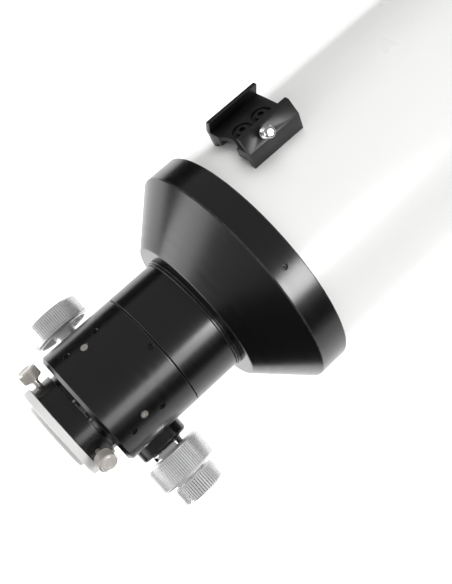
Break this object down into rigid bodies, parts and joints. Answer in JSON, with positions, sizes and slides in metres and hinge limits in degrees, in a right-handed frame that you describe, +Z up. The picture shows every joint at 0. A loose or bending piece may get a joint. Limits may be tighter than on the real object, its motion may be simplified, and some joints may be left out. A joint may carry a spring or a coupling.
{
  "type": "refractor telescope tube",
  "caption": "Refractor optical tube with a rotating two-speed Crayford focuser, eyepiece socket with thumbscrews, finder shoe, doublet lens and dew shield.",
  "frame": {"origin": "on the optical axis, midway along the main tube, where the cradle rings hold it", "axes": "+X along the optical axis towards the sky, +Z up, +Y to the left as seen from behind the eyepiece"},
  "size_m": [0.8992, 0.19, 0.1918],
  "materials": {
    "white_paint": "gloss white enamel",
    "black_anodised": "satin black anodised",
    "matte_black": "matt black inside",
    "silver_anodised": "bright turned and ribbed",
    "nickel": "nickel-plated, knurled",
    "steel": "ground",
    "chrome": "bright plated",
    "brass": "turned",
    "cap_plastic": "pale moulded, satin",
    "black_plastic": "moulded, satin",
    "coated_glass": "fully coated"
  },
  "bodies": {
    "tube": {"main_tube": "white_paint", "tube_baffles": "matte_black", "tail_cone": "black_anodised", "tail_cone_screws": "black_anodised", "lock_ring": "black_anodised", "focuser_collar": "black_anodised", "finder_shoe": "black_anodised", "finder_shoe_screws": "black_anodised", "cell_ring": "black_anodised", "cell_ring_screws": "steel", "lens_cell": "black_anodised", "cell_screws": "steel", "crown_lens": "coated_glass", "lens_spacer": "black_anodised", "flint_lens": "coated_glass", "lens_retaining_ring": "black_anodised", "dew_shield_ring": "black_anodised", "dew_shield": "white_paint"},
    "focuser": {"focuser_body": "black_anodised", "rotation_set_screw": "black_anodised", "bearing_bar_left": "steel", "bearing_bar_right": "steel", "bar_screws": "chrome", "bar_set_screws": "black_anodised", "bearing_pins": "steel", "shaft_block": "brass", "shaft_bush": "black_anodised", "base_plate": "black_anodised", "base_plate_screws": "steel", "reducer_flange": "black_anodised", "flange_screws": "black_anodised"},
    "coarse_drive": {"roller_shaft": "steel", "coarse_knob_left": "silver_anodised", "coarse_knob_right": "silver_anodised", "drive_hub": "chrome", "knob_set_screws": "steel", "ball_carrier": "brass", "planet_balls": "steel", "ball_race": "steel"},
    "fine_drive": {"fine_knob": "silver_anodised", "fine_shaft": "steel"},
    "drawtube": {"drawtube": "black_anodised", "drive_strip": "steel", "drawtube_baffle": "matte_black", "eyepiece_adapter": "black_anodised", "compression_ring": "brass"},
    "bearing_lf": {"bearing_left_front": "steel"},
    "bearing_lr": {"bearing_left_rear": "steel"},
    "bearing_rf": {"bearing_right_front": "steel"},
    "bearing_rr": {"bearing_right_rear": "steel"},
    "adapter_screw_left": {"adapter_screw_left": "nickel"},
    "adapter_screw_right": {"adapter_screw_right": "nickel"},
    "adapter_screw_under": {"adapter_screw_under": "nickel"},
    "rear_cap": {"rear_dust_cap": "cap_plastic"},
    "tension_screw": {"tension_screw": "nickel"},
    "lock_screw": {"lock_screw": "nickel"},
    "finder_screw": {"finder_thumbscrew": "chrome"},
    "front_cap": {"front_dust_cap": "black_plastic"}
  },
  "joints": [
    {"name": "focuser_rotation", "type": "hinge", "parent": "tube", "child": "focuser", "pos_m": [-0.361, 0, 0], "axis": [1, 0, 0], "continuous": true},
    {"name": "coarse_turn", "type": "hinge", "parent": "focuser", "child": "coarse_drive", "pos_m": [-0.3939, 0, -0.033], "axis": [0, -1, 0], "range_deg": [0, 1353]},
    {"name": "fine_turn", "type": "hinge", "parent": "focuser", "child": "fine_drive", "pos_m": [-0.3939, 0, -0.033], "axis": [0, -1, 0], "range_deg": [0, 13530]},
    {"name": "drawtube_slide", "type": "slide", "parent": "focuser", "child": "drawtube", "axis": [-1, 0, 0], "range_m": [0, 0.075]},
    {"name": "bearing_roll_lf", "type": "hinge", "parent": "focuser", "child": "bearing_lf", "pos_m": [-0.3825, 0.02337, 0.02472], "axis": [0, 0.7266, -0.6871], "range_deg": [0, 1074.94]},
    {"name": "bearing_roll_lr", "type": "hinge", "parent": "focuser", "child": "bearing_lr", "pos_m": [-0.4053, 0.02337, 0.02472], "axis": [0, 0.7266, -0.6871], "range_deg": [0, 1074.94]},
    {"name": "bearing_roll_rf", "type": "hinge", "parent": "focuser", "child": "bearing_rf", "pos_m": [-0.3825, -0.02337, 0.02472], "axis": [0, 0.7266, 0.6871], "range_deg": [0, 1074.94]},
    {"name": "bearing_roll_rr", "type": "hinge", "parent": "focuser", "child": "bearing_rr", "pos_m": [-0.4053, -0.02337, 0.02472], "axis": [0, 0.7266, 0.6871], "range_deg": [0, 1074.94]},
    {"name": "adapter_screw_turn_left", "type": "hinge", "parent": "drawtube", "child": "adapter_screw_left", "pos_m": [-0.429, 0.03571, 0.013], "axis": [0, 0.9397, 0.342], "range_deg": [0, 1080]},
    {"name": "adapter_screw_turn_right", "type": "hinge", "parent": "drawtube", "child": "adapter_screw_right", "pos_m": [-0.429, -0.02911, 0.02443], "axis": [0, -0.766, 0.6428], "range_deg": [0, 1080]},
    {"name": "adapter_screw_turn_under", "type": "hinge", "parent": "drawtube", "child": "adapter_screw_under", "pos_m": [-0.429, -0.0066, -0.03742], "axis": [0, -0.1736, -0.9848], "range_deg": [0, 1080]},
    {"name": "rear_cap_slide", "type": "slide", "parent": "drawtube", "child": "rear_cap", "axis": [-1, 0, 0], "range_m": [0, 0.08]},
    {"name": "tension_screw_turn", "type": "hinge", "parent": "focuser", "child": "tension_screw", "pos_m": [-0.3939, 0, -0.0547], "axis": [0, 0, -1], "range_deg": [0, 720]},
    {"name": "lock_screw_turn", "type": "hinge", "parent": "focuser", "child": "lock_screw", "pos_m": [-0.4099, 0, -0.0547], "axis": [0, 0, -1], "range_deg": [0, 720]},
    {"name": "finder_screw_turn", "type": "hinge", "parent": "tube", "child": "finder_screw", "pos_m": [-0.2361, 0.04721, 0.08464], "axis": [0, -0.3584, 0.9336], "range_deg": [0, 1440]},
    {"name": "front_cap_slide", "type": "slide", "parent": "tube", "child": "front_cap", "axis": [1, 0, 0], "range_m": [0, 0.08]}
  ],
  "couplings": [
    {"joint": "drawtube_slide", "follows": "coarse_turn", "m_per_rad": 0.003175},
    {"joint": "fine_turn", "follows": "coarse_turn", "ratio": 10},
    {"joint": "bearing_roll_lf", "follows": "coarse_turn", "ratio": 0.79375},
    {"joint": "bearing_roll_lr", "follows": "coarse_turn", "ratio": 0.79375},
    {"joint": "bearing_roll_rf", "follows": "coarse_turn", "ratio": 0.79375},
    {"joint": "bearing_roll_rr", "follows": "coarse_turn", "ratio": 0.79375}
  ]
}
